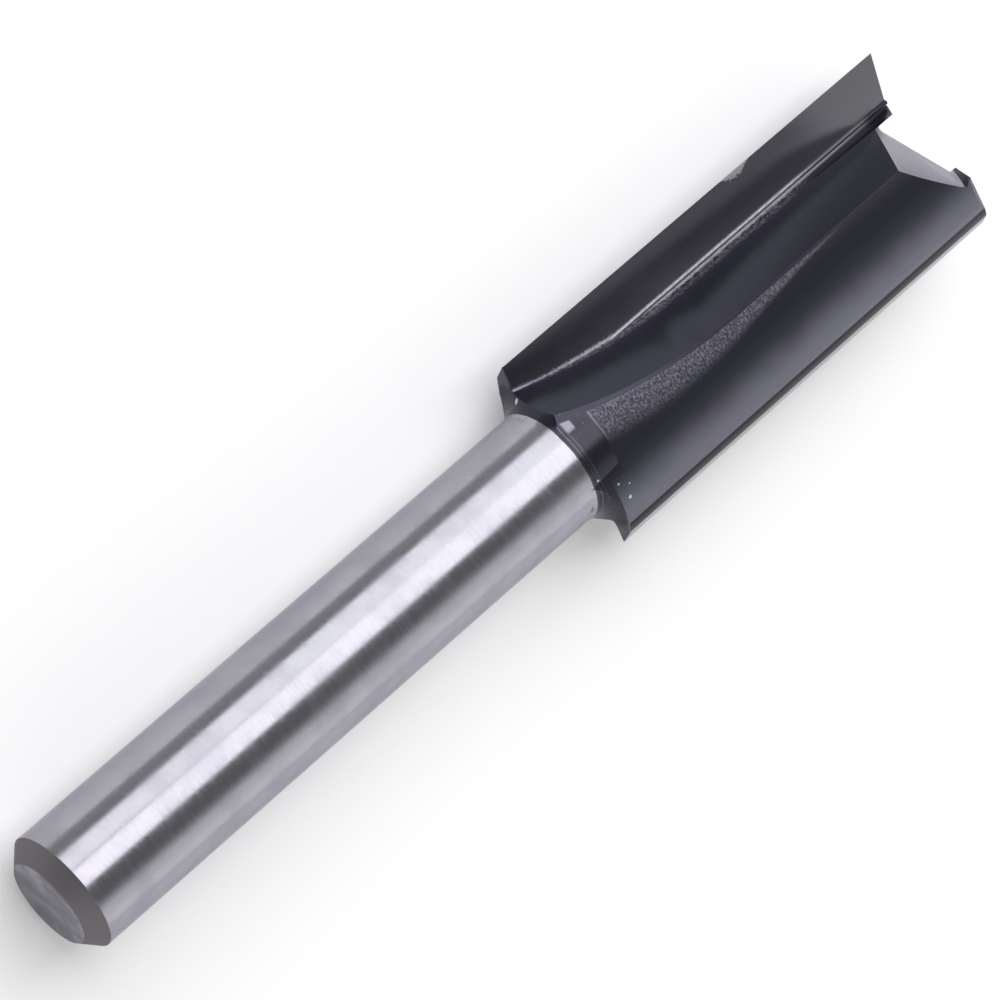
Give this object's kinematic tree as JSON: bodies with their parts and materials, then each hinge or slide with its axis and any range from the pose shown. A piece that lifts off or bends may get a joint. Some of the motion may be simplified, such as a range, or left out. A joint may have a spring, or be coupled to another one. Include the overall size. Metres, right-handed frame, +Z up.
{
  "type": "straight router bit",
  "caption": "Straight two-flute router bit with a plain round shank, milled gullets and brazed carbide blades.",
  "frame": {"origin": "centre of the shank's end face", "axes": "+X along the bit's axis towards the cutting tip; +Z up with the bit lying on its shank, the wings along Y and cutting edge A at +Y"},
  "size_m": [0.0582, 0.01, 0.006],
  "materials": {
    "steel": "ground bright shank, blue-black coated head",
    "carbide": "ground carbide with a dark coat on its face",
    "braze": "silver solder under a thin dark coat"
  },
  "bodies": {
    "root": {"body": "steel", "blade_a": "carbide", "blade_b": "carbide", "braze_a": "braze", "braze_b": "braze"}
  },
  "joints": []
}
